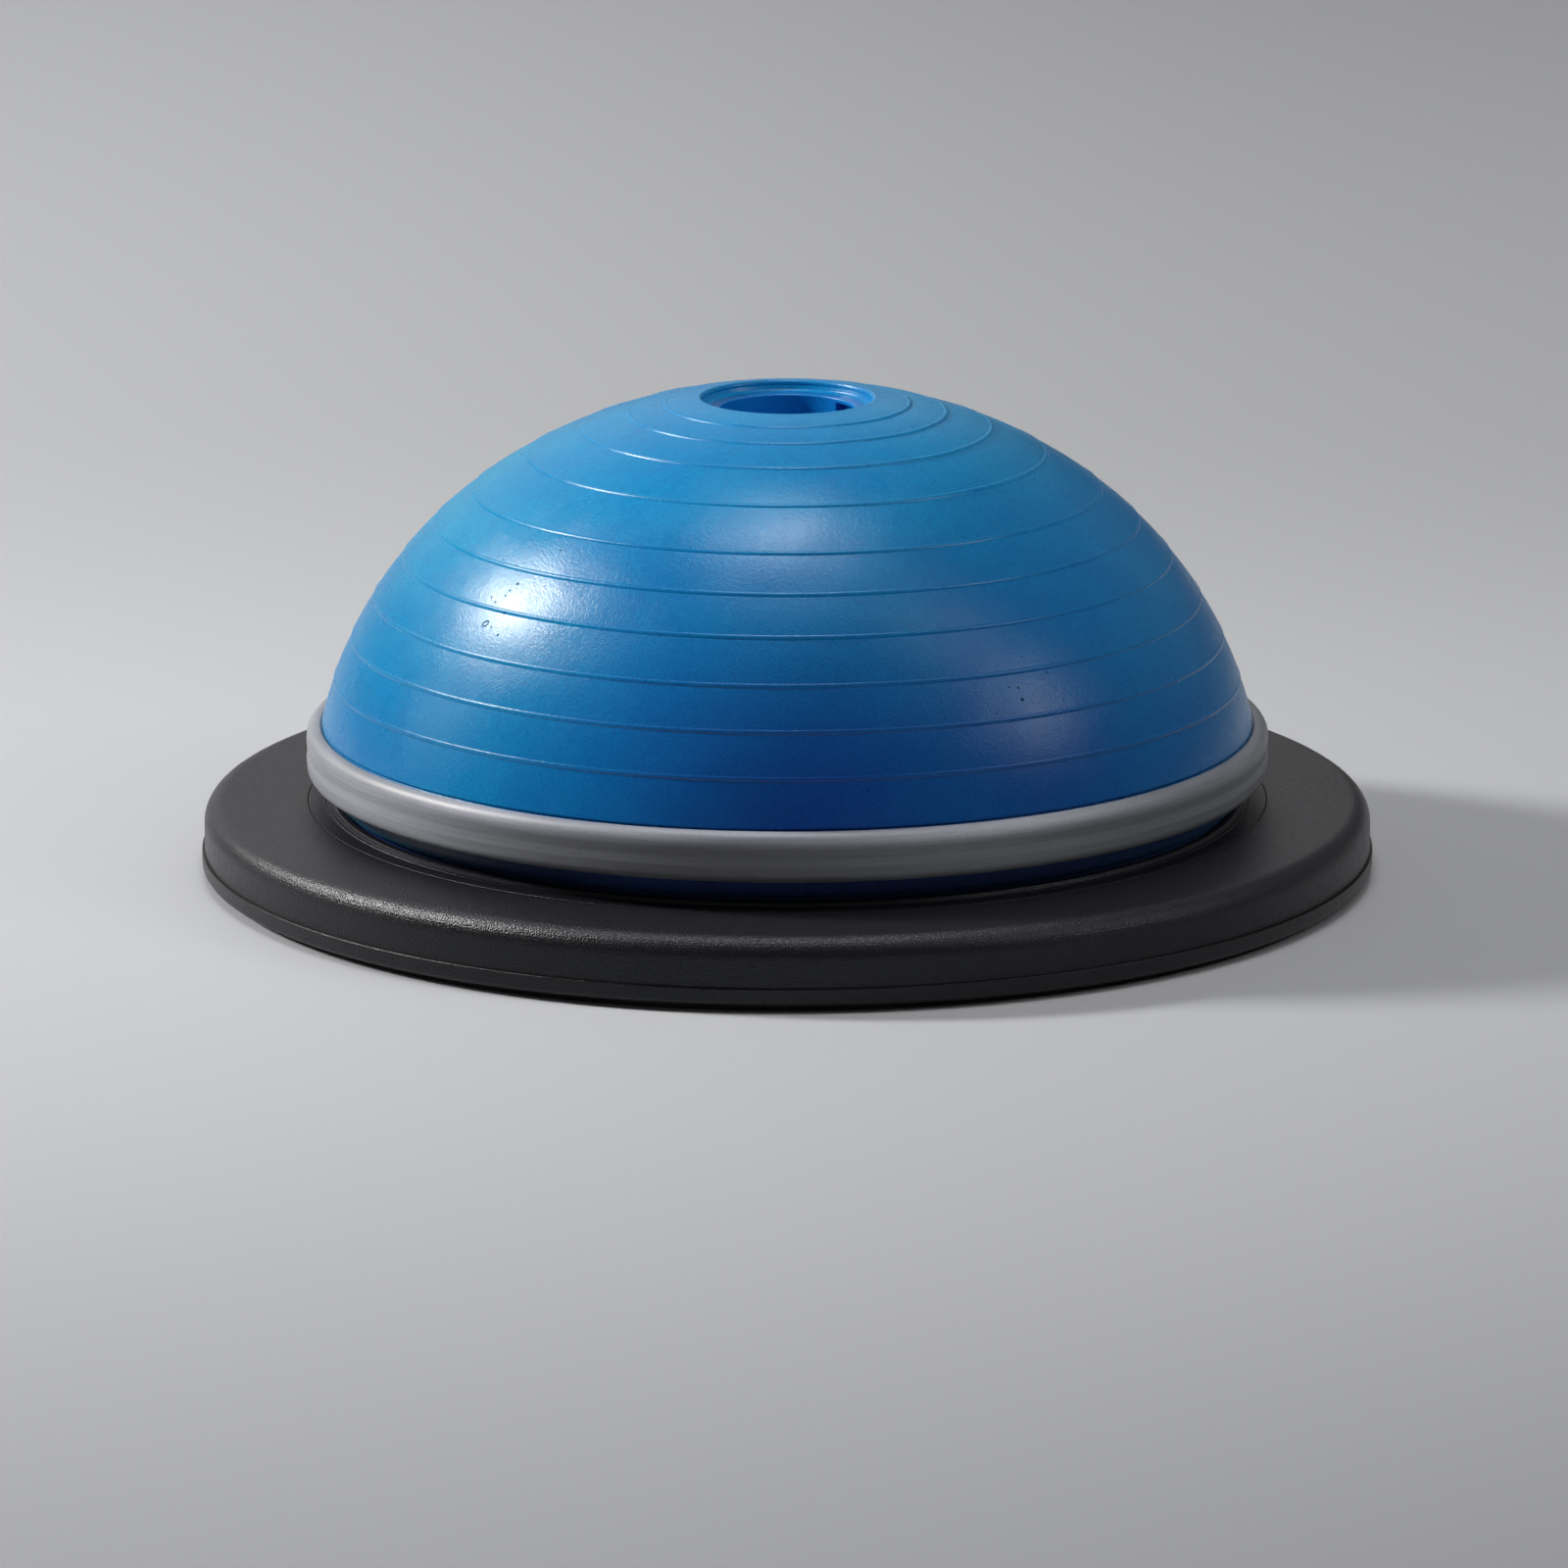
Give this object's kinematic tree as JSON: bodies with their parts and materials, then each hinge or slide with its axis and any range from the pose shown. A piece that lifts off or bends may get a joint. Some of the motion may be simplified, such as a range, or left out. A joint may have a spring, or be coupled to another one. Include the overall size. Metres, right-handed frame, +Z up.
{
  "type": "half-dome balance trainer",
  "caption": "Half-dome balance trainer: an inflated, ringed bladder with a recessed valve port, held by a rubber band on a round platform that stands on a rubber foot.",
  "frame": {"origin": "on the floor, at the centre of the round platform, in the plane of the foot ring's underside", "axes": "+Z up along the axis of the dome and platform; +X and -X point through the two hand grips in the underside"},
  "size_m": [0.65, 0.65, 0.2633],
  "materials": {
    "blue_vinyl": "satin moulded vinyl with fine wrinkles",
    "grey_rubber": "satin rubber, faintly streaked along its length",
    "black_plastic": "fine leather-like grain",
    "black_rubber": "matt",
    "blue_plastic": "smooth",
    "dark_plastic": "smooth",
    "bright_steel": "zinc plated"
  },
  "bodies": {
    "trainer": {"platform_top": "black_plastic", "platform_base": "black_plastic", "foot_ring": "black_rubber", "retaining_ring": "black_plastic", "shell_screw_1": "bright_steel", "shell_screw_2": "bright_steel", "shell_screw_3": "bright_steel", "shell_screw_4": "bright_steel", "shell_screw_5": "bright_steel", "shell_screw_6": "bright_steel", "shell_screw_7": "bright_steel", "shell_screw_8": "bright_steel", "ring_screw_1": "bright_steel", "ring_screw_2": "bright_steel", "ring_screw_3": "bright_steel", "ring_screw_4": "bright_steel", "ring_screw_5": "bright_steel", "ring_screw_6": "bright_steel", "ring_screw_7": "bright_steel", "ring_screw_8": "bright_steel", "dome_bladder": "blue_vinyl", "bladder_floor": "blue_vinyl", "grey_band": "grey_rubber"},
    "port": {"port_collar": "blue_vinyl", "well_cup": "blue_vinyl", "valve_body": "dark_plastic", "valve_gasket": "black_rubber", "valve_nut": "dark_plastic", "valve_spring": "bright_steel"},
    "valve_pin": {"valve_stem": "dark_plastic", "poppet_seal": "black_rubber", "stem_button": "blue_plastic"},
    "cap": {"valve_cap": "blue_plastic", "cap_seal": "black_rubber"}
  },
  "joints": [
    {"name": "dome_press", "type": "slide", "parent": "trainer", "child": "port", "axis": [0, 0, 1], "range_m": [-0.06, 0], "stiffness_N_per_m": 12000, "deforming": ["dome_bladder"]},
    {"name": "valve_pin_press", "type": "slide", "parent": "port", "child": "valve_pin", "axis": [0, 0, 1], "range_m": [-0.0025, 0], "stiffness_N_per_m": 600, "deforming": ["valve_spring"]},
    {"name": "valve_cap_lift", "type": "slide", "parent": "port", "child": "cap", "axis": [0, 0, 1], "range_m": [0, 0.046]}
  ]
}
